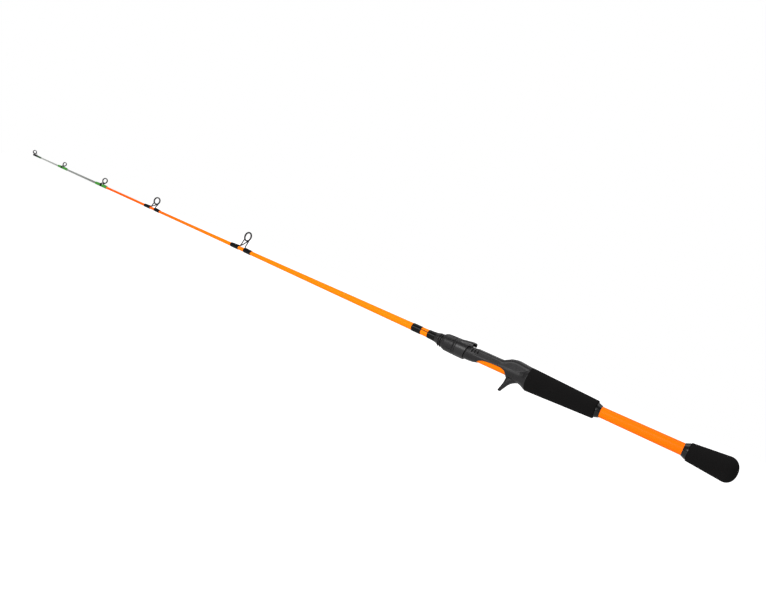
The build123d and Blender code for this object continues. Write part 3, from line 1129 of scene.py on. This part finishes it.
@dataclass
class FootWrap:
    """Epoxied thread wrap that holds a guide's foot: tall at the leg, low at the foot's end."""

    node: str
    finish: bpy.types.Material
    slot: str
    leg_first: bool
    tall_mm: float = 0.9
    low_mm: float = 0.3
    cover_mm: float = 0.35
    end_round_mm: float = 1.1
    rows: int = 40

    def build(self) -> bpy.types.Object:
        """Builds the wrap as rings of ovals that stand on the blank."""
        start, end = span(self.node)
        form = Form(self.node + "_epoxy")
        rings = []
        for row in range(self.rows + 1):
            share = 0.5 - 0.5 * math.cos(math.pi * row / self.rows)
            x = start + (end - start) * share
            from_leg = share if self.leg_first else 1 - share
            rise = self.tall_mm + (self.low_mm - self.tall_mm) * from_leg
            edge = min(1.0, min(x - start, end - x) / self.end_round_mm)
            swell = math.sqrt(max(0.0, 1 - (1 - edge) ** 2))
            radius = TAPER.at(x) + self.cover_mm * swell
            rise *= swell
            ring = []
            for i in range(FORM_SEGMENTS):
                angle = TURN * i / FORM_SEGMENTS
                ring.append(Vector((x, radius * math.sin(angle),
                                    AXIS + rise / 2 + (radius + rise / 2) * math.cos(angle))))
            rings.append(ring)
        form.skin(rings)
        return place(form.piece(self.finish), Body.ROOT, self.slot, self.node)


@dataclass
class LineGuide:
    """Double-foot guide: a lined ring on two front legs and one rear leg, bound to the blank."""

    palette: Palette
    number: int
    bore_mm: float
    wire_mm: float
    wrap: bpy.types.Material
    wrap_slot: str
    band_mm: float = 0.55
    leg_from_ring_bottom_deg: float = 45.0
    leg_stance_mm: float = 0.3
    foot_height_mm: float = 0.9
    foot_half_width_mm: float = 1.1
    foot_half_thickness_mm: float = 0.32
    toe_inset_mm: float = 2.0
    calf_share: float = 0.4
    shin_share: float = 0.82
    heel_share: float = 0.18
    flat_from: float = 0.5
    flat_over: float = 0.3
    trim_cover_mm: float = 0.34
    trim_round_mm: float = 0.3
    x: float = field(init=False)
    height: float = field(init=False)
    ring_outer: float = field(init=False)

    def build(self) -> None:
        """Builds the frame, the ring and what binds them to the blank."""
        ring = f"guide_{self.number}_ring"
        start, end = span(ring)
        self.x = (start + end) / 2
        self.height = centre_height(ring)
        self.ring_outer = half_width(ring)
        self.frame()
        form = Form(ring + "_lining")
        ring_insert(form, self.x, self.height, self.ring_outer, self.bore_mm)
        place(form.piece(self.palette.ring), Body.ROOT, "guide_ring_ceramic", ring)
        front, rear = f"guide_{self.number}_front_wrap", f"guide_{self.number}_rear_wrap"
        FootWrap(front, self.wrap, self.wrap_slot, leg_first=False).build()
        FootWrap(rear, self.wrap, self.wrap_slot, leg_first=True).build()
        if f"guide_{self.number}_trim_band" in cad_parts:
            self.trim_band(f"guide_{self.number}_trim_band")

    def leg(self, side: Side, front: bool) -> list[Vector]:
        """Centre line of one leg, from the ring down to the foot and along under its wrap.

        Args:
            side: Which side of the ring it leaves.
            front: True for a front leg, False for the rear one.

        Returns:
            Points of a smooth curve.
        """
        name = "front" if front else "rear"
        low, high = span(f"guide_{self.number}_{name}_wrap")
        ahead = -1 if front else 1
        leg_x = high if front else low
        foot_end = low + self.toe_inset_mm if front else high - self.toe_inset_mm
        angle = math.radians(self.leg_from_ring_bottom_deg)
        middle = self.ring_outer + self.band_mm / 2
        top = Vector((self.x, side.value * middle * math.sin(angle),
                      self.height - middle * math.cos(angle)))
        knee_x = leg_x - ahead * self.wire_mm
        knee = Vector((knee_x, side.value * self.leg_stance_mm,
                       AXIS + TAPER.at(knee_x) + self.foot_height_mm - self.wire_mm / 2))
        toe = Vector((foot_end, 0, AXIS + TAPER.at(foot_end) + self.foot_half_thickness_mm))
        calf, shin = top.lerp(knee, self.calf_share), top.lerp(knee, self.shin_share)
        return smooth_path([top, calf, shin, knee.lerp(toe, self.heel_share), toe], steps=8)

    def section(self, share: float) -> tuple[float, float]:
        """Half width and half height of a leg: round above, flattened into the foot."""
        flat = min(1.0, max(0.0, (share - self.flat_from) / self.flat_over))
        flat = flat * flat * (3 - 2 * flat)
        return (self.wire_mm + (self.foot_half_width_mm - self.wire_mm) * flat,
                self.wire_mm + (self.foot_half_thickness_mm - self.wire_mm) * flat)

    def frame(self) -> None:
        """Builds the band and the three legs."""
        node = f"guide_{self.number}_frame"
        form = Form(node + "_wire")
        ring_band(form, self.x, self.height, self.ring_outer + self.band_mm, self.ring_outer)
        for side, front in ((Side.LEFT, True), (Side.RIGHT, True), (Side.RIGHT, False)):
            form.wire(self.leg(side, front), self.section)
        place(form.piece(self.palette.frame_wire), Body.ROOT, "guide_frame_metal", node)

    def trim_band(self, node: str) -> None:
        """Builds the black thread band between the two wraps.

        Args:
            node: The CAD node that it stands for.
        """
        start, end = span(node)
        cover, bed = self.trim_cover_mm, 0.01
        form = Form(node + "_epoxy")
        profile = [(start, TAPER.at(start) + bed), (start, TAPER.at(start) + cover),
                   (end, TAPER.at(end) + cover), (end, TAPER.at(end) + bed)]
        form.turn(rounded(profile, self.trim_round_mm))
        place(form.piece(self.palette.black_wrap), Body.ROOT, "black_wrap", node)


@dataclass
class TipTop:
    """Tip-top: a tube over the tip's end, a lined ring braced to it, and a short wrap."""

    palette: Palette
    bore_mm: float = 2.4
    band_mm: float = 0.55
    tube_radius_mm: float = 1.7
    strut_mm: float = 0.45
    strut_stance_mm: float = 0.6
    strut_lift_mm: float = 0.9
    strut_setback_mm: float = 4.0
    wrap_cover_mm: float = 0.42
    front_radius_mm: float = 0.7
    rear_bore_mm: float = 1.0
    front_bevel_mm: float = 0.5
    tube_round_mm: float = 0.4
    strut_below_middle_deg: float = 10.0
    strut_bow_mm: tuple[float, float] = (0.5, 0.1)
    wrap_round_mm: float = 0.6
    wrap_tail_mm: float = 0.8
    wrap_middle_share: float = 0.9
    wrap_tail_share: float = 0.7
    bed_mm: float = 0.02

    def build(self) -> None:
        """Builds the frame, the ring and the wrap."""
        start, end = span("tip_top_ring")
        x, height = (start + end) / 2, centre_height("tip_top_ring")
        outer = half_width("tip_top_ring")
        front, rear = span("tip_top_frame")[0], span("tip_wrap")[0]
        form = Form("tip_top_wire")
        tube = [(front, self.front_radius_mm), (front + self.front_bevel_mm, self.tube_radius_mm),
                (rear, self.tube_radius_mm), (rear, self.rear_bore_mm)]
        form.turn(rounded(tube, self.tube_round_mm))
        ring_band(form, x, height, outer + self.band_mm, outer)
        for side in Side:
            middle = outer + self.band_mm / 2
            angle = math.radians(self.strut_below_middle_deg)
            top = Vector((x, side.value * middle * math.cos(angle),
                          height - middle * math.sin(angle)))
            toe = Vector((rear - self.strut_setback_mm, side.value * self.strut_stance_mm,
                          AXIS + self.strut_lift_mm))
            back, lift = self.strut_bow_mm
            path = smooth_path([top, top.lerp(toe, 0.5) + Vector((back, 0, lift)), toe], steps=10)
            form.wire(path, lambda share: (self.strut_mm, self.strut_mm))
        place(form.piece(self.palette.frame_wire), Body.ROOT, "guide_frame_metal", "tip_top_frame")
        lining = Form("tip_top_ring_lining")
        ring_insert(lining, x, height, outer, self.bore_mm)
        place(lining.piece(self.palette.ring), Body.ROOT, "guide_ring_ceramic", "tip_top_ring")
        self.wrap()

    def wrap(self) -> None:
        """Builds the short wrap behind the tube."""
        start, end = span("tip_wrap")
        cover = self.wrap_cover_mm
        profile = [(start, TAPER.at(start) + self.bed_mm), (start, TAPER.at(start) + cover),
                   ((start + end) / 2, TAPER.at(start) + cover * self.wrap_middle_share),
                   (end - self.wrap_tail_mm, TAPER.at(end) + cover * self.wrap_tail_share),
                   (end, TAPER.at(end) + self.bed_mm)]
        form = Form("tip_wrap_epoxy")
        form.turn(rounded(profile, self.wrap_round_mm))
        place(form.piece(self.palette.dark_green_wrap), Body.ROOT, "green_wrap", "tip_wrap")


# ---- in front of the handle ----

@dataclass
class HookKeeper:
    """Wire loop that holds the hook, between the two wraps in front of the seat."""

    palette: Palette
    wire_mm: float = 0.35
    rise_mm: float = 1.7
    ramp_mm: float = 2.4
    buried_mm: float = 6.0
    above_side_deg: float = 18.0
    wrap_gap_mm: float = 0.3
    lead_in_mm: float = 0.6
    lead_rise_mm: float = 0.05
    lie_mm: float = 0.1

    def build(self) -> None:
        """Builds the bent wire."""
        start = span("handle_wrap_front")[1] + self.wrap_gap_mm
        end = span("handle_wrap_rear")[0] - self.wrap_gap_mm
        angle = math.radians(self.above_side_deg)
        outward = Vector((0, -math.cos(angle), math.sin(angle)))
        corners = [(start - self.buried_mm, 0.0), (start - self.lead_in_mm, self.lead_rise_mm),
                   (start + self.ramp_mm, self.rise_mm), (end - self.ramp_mm, self.rise_mm),
                   (end + self.lead_in_mm, self.lead_rise_mm), (end + self.buried_mm, 0.0)]
        points = []
        for x, rise in corners:
            reach = TAPER.at(x) + rise + self.lie_mm
            points.append(Vector((x, 0, AXIS)) + outward * reach)
        form = Form("hook_keeper_wire")
        form.wire(smooth_path(points, steps=8), lambda share: (self.wire_mm, self.wire_mm))
        place(form.piece(self.palette.frame_wire), Body.ROOT, "guide_frame_metal", "hook_keeper")


@dataclass
class HandleWraps:
    """The two black wraps in front of the seat; the rear one flares to meet it."""

    palette: Palette
    cover_mm: float = 0.4
    end_round_mm: float = 1.2
    flare_from_mm: float = 5.0
    flare_radius_mm: float = 5.7
    flare_settle_mm: float = 1.5
    flare_drop_mm: float = 0.12
    flare_round_mm: float = 2.0
    bed_mm: float = 0.02
    round_steps: int = 6

    def build(self) -> None:
        """Builds both wraps."""
        front_start, front_end = span("handle_wrap_front")
        rear_start, rear_end = span("handle_wrap_rear")
        flare_x = rear_start + self.flare_from_mm
        outlines = {
            "handle_wrap_front": self.ends_rounded(front_start, front_end, []),
            "handle_wrap_rear": self.ends_rounded(rear_start, rear_end, [
                (flare_x, TAPER.at(flare_x) + self.cover_mm),
                (rear_end - self.flare_settle_mm, self.flare_radius_mm - self.flare_drop_mm),
                (rear_end, self.flare_radius_mm)]),
        }
        for node, outline in outlines.items():
            form = Form(node + "_epoxy")
            form.turn(outline, segments=WRAP_SEGMENTS)
            place(form.piece(self.palette.black_wrap), Body.ROOT, "black_wrap", node)

    def ends_rounded(self, start: float, end: float, tail: Profile) -> Profile:
        """Outline of a wrap with rounded ends, or with a given tail.

        Args:
            start: Front end.
            end: Rear end.
            tail: Last corners, or none for a rounded rear end.

        Returns:
            Points as (place, radius).
        """
        profile = []
        for step in range(self.round_steps + 1):
            angle = math.pi / 2 * step / self.round_steps
            x = start + self.end_round_mm * (1 - math.cos(angle))
            profile.append((x, TAPER.at(x) + self.bed_mm + self.cover_mm * math.sin(angle)))
        if tail:
            flare = rounded([profile[-1], *tail], self.flare_round_mm)[1:]
            return profile + flare + [(end, TAPER.at(end) + self.bed_mm)]
        for x, radius in reversed(profile[:]):
            profile.append((start + end - x, radius))
        return profile


# ---- reel seat, hood and nut ----

def softened_copy(node: str, name: str, voxel_mm: float, passes: int,
                  reshape: Callable[[Vector], None] | None = None) -> bpy.types.Mesh:
    """Copies a CAD node as one skin whose edges are slightly rounded.

    Args:
        node: The CAD node.
        name: Name of the new mesh.
        voxel_mm: Cell size of the new skin.
        passes: Smoothing passes, which set how round the edges become.
        reshape: Moves a corner of the copy before the new skin is made, or none.

    Returns:
        The new mesh, with its faces outwards.
    """
    form = bmesh.new()
    form.from_mesh(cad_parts[node].data)
    bmesh.ops.remove_doubles(form, verts=form.verts, dist=CAD_WELD_M)
    if reshape:
        for corner in form.verts:
            reshape(corner.co)
    data = bpy.data.meshes.new(name + "_rough")
    form.to_mesh(data)
    form.free()
    rough = bpy.data.objects.new(name + "_rough", data)
    bpy.context.scene.collection.objects.link(rough)
    skin = rough.modifiers.new("skin", "REMESH")
    skin.mode = "VOXEL"
    skin.voxel_size = voxel_mm * MM
    smooth = rough.modifiers.new("smooth", "SMOOTH")
    smooth.factor = SMOOTH_SHARE
    smooth.iterations = passes
    result = bpy.data.meshes.new_from_object(
        rough.evaluated_get(bpy.context.evaluated_depsgraph_get()))
    bpy.data.objects.remove(rough)
    form = bmesh.new()
    form.from_mesh(result)
    bmesh.ops.recalc_face_normals(form, faces=form.faces)
    form.to_mesh(result)
    form.free()
    return result


@dataclass
class ReelSeat:
    """Seat moulding: threaded barrel, saddle, underside window, fixed hood and trigger."""

    palette: Palette
    voxel_mm: float = 0.4
    passes: int = 3
    thread_start_mm: float = -66.0
    thread_end_mm: float = -44.0
    pitch_mm: float = 2.5
    root_mm: float = 7.4
    crest_mm: float = 8.0
    base_mm: float = 1.8
    land_mm: float = 0.6
    key_flat_mm: float = 7.0
    thread_margin_mm: float = 1.0
    sleeve_round_mm: float = 0.4

    def build(self) -> None:
        """Builds the moulding and its thread, and gives the arbors inside it their finish."""
        data = softened_copy("seat_body", "seat_moulding", self.voxel_mm, self.passes,
                             self.thread_to_root)
        piece = add_piece("seat_moulding", data, self.palette.seat, crease_deg=50.0)
        place(piece, Body.ROOT, "seat_plastic", "seat_body")
        values = {"Start": self.thread_start_mm * MM, "Pitch": self.pitch_mm * MM,
                  "Turns": (self.thread_end_mm - self.thread_start_mm) / self.pitch_mm,
                  "Root Radius": self.root_mm * MM,
                  "Ridge Height": (self.crest_mm - self.root_mm) * MM,
                  "Ridge Base": self.base_mm * MM, "Ridge Land": self.land_mm * MM,
                  "Axis Height": AXIS * MM, "Key Flat": (AXIS + self.key_flat_mm) * MM,
                  "Material": self.palette.seat}
        thread = screw_thread_tree().grow("seat_thread", values, crease_deg=30.0)
        place(thread, Body.ROOT, "seat_plastic")
        self.window_sleeve()
        for name in ("front_arbor", "rear_arbor"):
            dress_node(name, self.palette.arbor)

    def window_sleeve(self) -> None:
        """Builds the orange sleeve over the blank that shows in the underside window."""
        start, end = span("window_sleeve")
        radius = half_width("window_sleeve")
        form = Form("window_sleeve_skin")
        form.turn(rounded([(start, TAPER.at(start)), (start, radius), (end, radius),
                           (end, TAPER.at(end))], self.sleeve_round_mm), segments=FINE_SEGMENTS)
        place(form.piece(self.palette.blank), Body.ROOT, "blank_lacquer", "window_sleeve")

    def thread_to_root(self, corner: Vector) -> None:
        """Draws a corner of the CAD's ring-shaped thread in to the barrel's root."""
        x, y, z = corner.x / MM, corner.y / MM, corner.z / MM - AXIS
        radius = math.hypot(y, z)
        first = self.thread_start_mm - self.thread_margin_mm
        last = self.thread_end_mm + self.thread_margin_mm
        if first < x < last and radius > self.root_mm:
            corner.y = y * self.root_mm / radius * MM
            corner.z = (AXIS + z * self.root_mm / radius) * MM


def dress_node(name: str, material: bpy.types.Material) -> None:
    """Gives a CAD node that stays in view its finish."""
    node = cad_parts[name]
    if not node.material_slots:
        node.data.materials.append(material)
    for holder in node.material_slots:
        holder.material = material
    log.info("%s: CAD node kept and dressed", name)


@dataclass
class SlidingHood:
    """Front hood, which slides on the barrel and clamps the front of the reel's foot."""

    palette: Palette
    voxel_mm: float = 0.3
    passes: int = 5

    def build(self) -> None:
        """Builds the hood."""
        data = softened_copy("sliding_hood", "hood_moulding", self.voxel_mm, self.passes)
        piece = add_piece("hood_moulding", data, self.palette.hood, crease_deg=50.0)
        place(piece, Body.HOOD, "hood_plastic", "sliding_hood")


@dataclass
class LockingNut:
    """Nut that drives the hood, with raised grip pads round it."""

    palette: Palette
    pad_count: int = 6
    pad_gap_mm: float = 1.5
    pad_inset_mm: float = 3.1
    pad_round_mm: float = 1.6
    pad_edge_mm: float = 0.7
    floor_mm: float = 9.75
    bore_mm: float = 8.2
    recess_mm: float = 9.2
    recess_x_mm: float = -50.5
    rim_mm: float = 10.55
    rim_length_mm: float = 1.2
    rim_foot_mm: float = 10.3
    rim_slope_mm: float = 0.5
    mouth_mm: float = 8.8
    mouth_bevel_mm: float = 0.2
    nose_mm: float = 9.3
    nose_length_mm: float = 1.0
    band_mm: float = 9.62
    band_slope_mm: float = 0.6
    sleeve_round_mm: float = 0.35
    pad_lap_mm: tuple[float, float] = (0.3, 0.2)
    crest_mm: float = 10.05
    crest_rise_mm: float = 0.45
    crest_curve: float = 0.8
    pad_foot_mm: float = 0.25
    pad_base_mm: float = 0.4
    pad_rows: int = 22
    pad_columns: int = 20
    crease_deg: float = 60.0

    def build(self) -> None:
        """Builds the nut's sleeve and the pads round it."""
        front, rear = span("locking_nut")
        floor_start, floor_end = front + self.pad_inset_mm, rear - self.pad_inset_mm
        sleeve = [(front, self.bore_mm + self.mouth_bevel_mm), (front, self.mouth_mm),
                  (front + self.nose_length_mm, self.nose_mm),
                  (floor_start - self.band_slope_mm, self.band_mm), (floor_start, self.floor_mm),
                  (floor_end, self.floor_mm), (floor_end + self.rim_slope_mm, self.rim_foot_mm),
                  (rear - self.rim_length_mm, self.rim_mm), (rear, self.rim_mm),
                  (rear, self.recess_mm), (self.recess_x_mm, self.recess_mm),
                  (self.recess_x_mm, self.bore_mm), (front, self.bore_mm)]
        form = Form("nut_sleeve")
        form.turn(rounded(sleeve, self.sleeve_round_mm, steps=3), segments=FINE_SEGMENTS, looped=True)
        place(form.piece(self.palette.nut), Body.NUT, "nut_plastic", "locking_nut")
        lap_front, lap_rear = self.pad_lap_mm
        pad = self.pad(floor_start - lap_front, floor_end + lap_rear)
        step = TURN / self.pad_count
        values = {"Pad": pad, "Count": self.pad_count, "First Turn": step / 2,
                  "Axis Height": AXIS * MM, "Material": self.palette.nut}
        pads = ring_of_pads_tree().grow("nut_grip_pads", values, self.crease_deg)
        bpy.data.objects.remove(pad)
        place(pads, Body.NUT, "nut_plastic")

    def crest(self, share: float) -> float:
        """Radius of the pads' faces at a share of their length from the front."""
        return self.crest_mm + self.crest_rise_mm * share ** self.crest_curve

    def pad(self, start: float, end: float) -> bpy.types.Object:
        """Builds one pad, with rounded corners and edges, standing up from the axis.

        Args:
            start: Front end of the pad.
            end: Rear end of the pad.

        Returns:
            The pad, with the origin on the axis that the nut turns about.
        """
        rows, columns = self.pad_rows, self.pad_columns
        half_arc = math.pi / self.pad_count - self.pad_gap_mm / 2 / self.rim_mm
        form = Form("nut_pad")
        rings = []
        for row in range(rows + 1):
            share = 0.5 - 0.5 * math.cos(math.pi * row / rows)
            x = start + (end - start) * share
            from_end = min(x - start, end - x)
            corner = max(0.0, 1 - from_end / self.pad_round_mm)
            pull = self.pad_round_mm * (1 - math.sqrt(1 - corner ** 2)) / self.rim_mm
            arc = half_arc - pull
            ring = []
            for column in range(columns + 1):
                across = -math.cos(math.pi * column / columns)
                from_side = (1 - abs(across)) * arc * self.rim_mm
                near = min(1.0, min(from_side, from_end) / self.pad_edge_mm)
                swell = math.sqrt(max(0.0, 1 - (1 - near) ** 2))
                low = self.floor_mm - self.pad_foot_mm
                radius = low + (self.crest(share) - low) * swell
                ring.append(Vector((x, radius * math.sin(arc * across),
                                    radius * math.cos(arc * across))))
            for column in range(columns - 1, 0, -1):
                across = -math.cos(math.pi * column / columns)
                low = self.floor_mm - self.pad_base_mm
                ring.append(Vector((x, low * math.sin(arc * across), low * math.cos(arc * across))))
            rings.append(ring)
        form.skin(rings)
        return form.piece(self.palette.nut, self.crease_deg)


# ---- handle behind the seat ----

@dataclass
class TurnedSleeve:
    """A sleeve turned about the rod, given by its corners from front to rear."""

    node: str
    name: str
    finish: bpy.types.Material
    slot: str
    corners: Profile
    round_mm: float
    foam: bool = False
    crease_deg: float = 60.0

    def build(self) -> None:
        form = Form(self.name)
        form.turn(rounded(self.corners, self.round_mm, steps=6), segments=FINE_SEGMENTS)
        piece = place(form.piece(self.finish, self.crease_deg), Body.ROOT, self.slot, self.node)


@dataclass
class RearHandle:
    """Foam grip, the butt knob and the two winding checks between them and the blank."""

    palette: Palette
    grip_front_mm: float = 13.2
    grip_rear_mm: float = 9.8
    grip_check_mm: tuple[float, float] = (8.3, 6.4)
    knob_check_mm: tuple[float, float] = (6.5, 8.8)
    knob_front_mm: float = 9.3
    knob_widest_mm: float = 12.6
    dome_mm: float = 10.1
    grip_bore_mm: float = 6.0
    check_bore_mm: float = 5.8
    knob_bore_mm: float = 6.2
    grip_round_mm: float = 0.8
    check_round_mm: float = 1.2
    knob_round_mm: float = 0.7
    shoulder_mm: float = 0.8
    dome_steps: int = 18
    dome_fullness: float = 0.9
    dome_tip_mm: float = 0.02
    crease_deg: float = 60.0

    def build(self) -> None:
        """Builds the four pieces from front to rear."""
        start, end = span("rear_grip")
        TurnedSleeve("rear_grip", "rear_grip_foam", self.palette.grip, "grip_foam",
                    [(start, self.grip_bore_mm), (start, self.grip_front_mm), (end, self.grip_rear_mm),
                      (end, self.grip_bore_mm)], self.grip_round_mm, foam=True).build()
        for node, radii in (("grip_winding_check", self.grip_check_mm),
                            ("knob_winding_check", self.knob_check_mm)):
            start, end = span(node)
            TurnedSleeve(node, node + "_cap", self.palette.check, "check_rubber",
                        [(start, self.check_bore_mm), (start, radii[0]), (end, radii[1]),
                          (end, self.check_bore_mm)], self.check_round_mm).build()
        self.knob()

    def knob(self) -> None:
        """Builds the knob: a cone that widens to the rear and ends in a dome."""
        start, end = span("butt_knob")
        shoulder = end - self.dome_mm
        profile = rounded([(start, self.knob_bore_mm), (start, self.knob_front_mm),
                           (shoulder, self.knob_widest_mm),
                           (shoulder + self.shoulder_mm, self.knob_widest_mm)],
                          self.knob_round_mm, steps=6)
        for step in range(1, self.dome_steps + 1):
            angle = math.pi / 2 * step / self.dome_steps
            x = shoulder + self.shoulder_mm + (self.dome_mm - self.shoulder_mm) * math.sin(angle)
            radius = self.knob_widest_mm * max(0.0, math.cos(angle)) ** self.dome_fullness
            profile.append((x, max(self.dome_tip_mm, radius)))
        form = Form("butt_knob_foam")
        form.turn(profile, segments=FINE_SEGMENTS)
        piece = place(form.piece(self.palette.grip, self.crease_deg), Body.ROOT, "grip_foam", "butt_knob")


# ---- assembly ----

def guides(palette: Palette) -> Iterable[LineGuide]:
    """The four guides from the butt, each with its own bore, wire and wraps."""
    bores_and_wires_mm = ((4.9, 0.80), (4.15, 0.72), (3.2, 0.60), (2.3, 0.52))
    first_green = 3
    for number, (bore, wire) in enumerate(bores_and_wires_mm, start=1):
        green = number >= first_green
        yield LineGuide(palette, number, bore, wire,
                        palette.green_wrap if green else palette.black_wrap,
                        "green_wrap" if green else "black_wrap")


def main() -> None:
    """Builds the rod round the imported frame, from the tip to the butt."""
    logging.basicConfig(level=logging.INFO, format="%(name)s: %(message)s")
    Studio().build()
    palette = Palette()
    Blank(palette).build()
    TipTop(palette).build()
    for guide in guides(palette):
        guide.build()
    HookKeeper(palette).build()
    HandleWraps(palette).build()
    ReelSeat(palette).build()
    SlidingHood(palette).build()
    LockingNut(palette).build()
    RearHandle(palette).build()


if __name__ == "__main__":
    main()
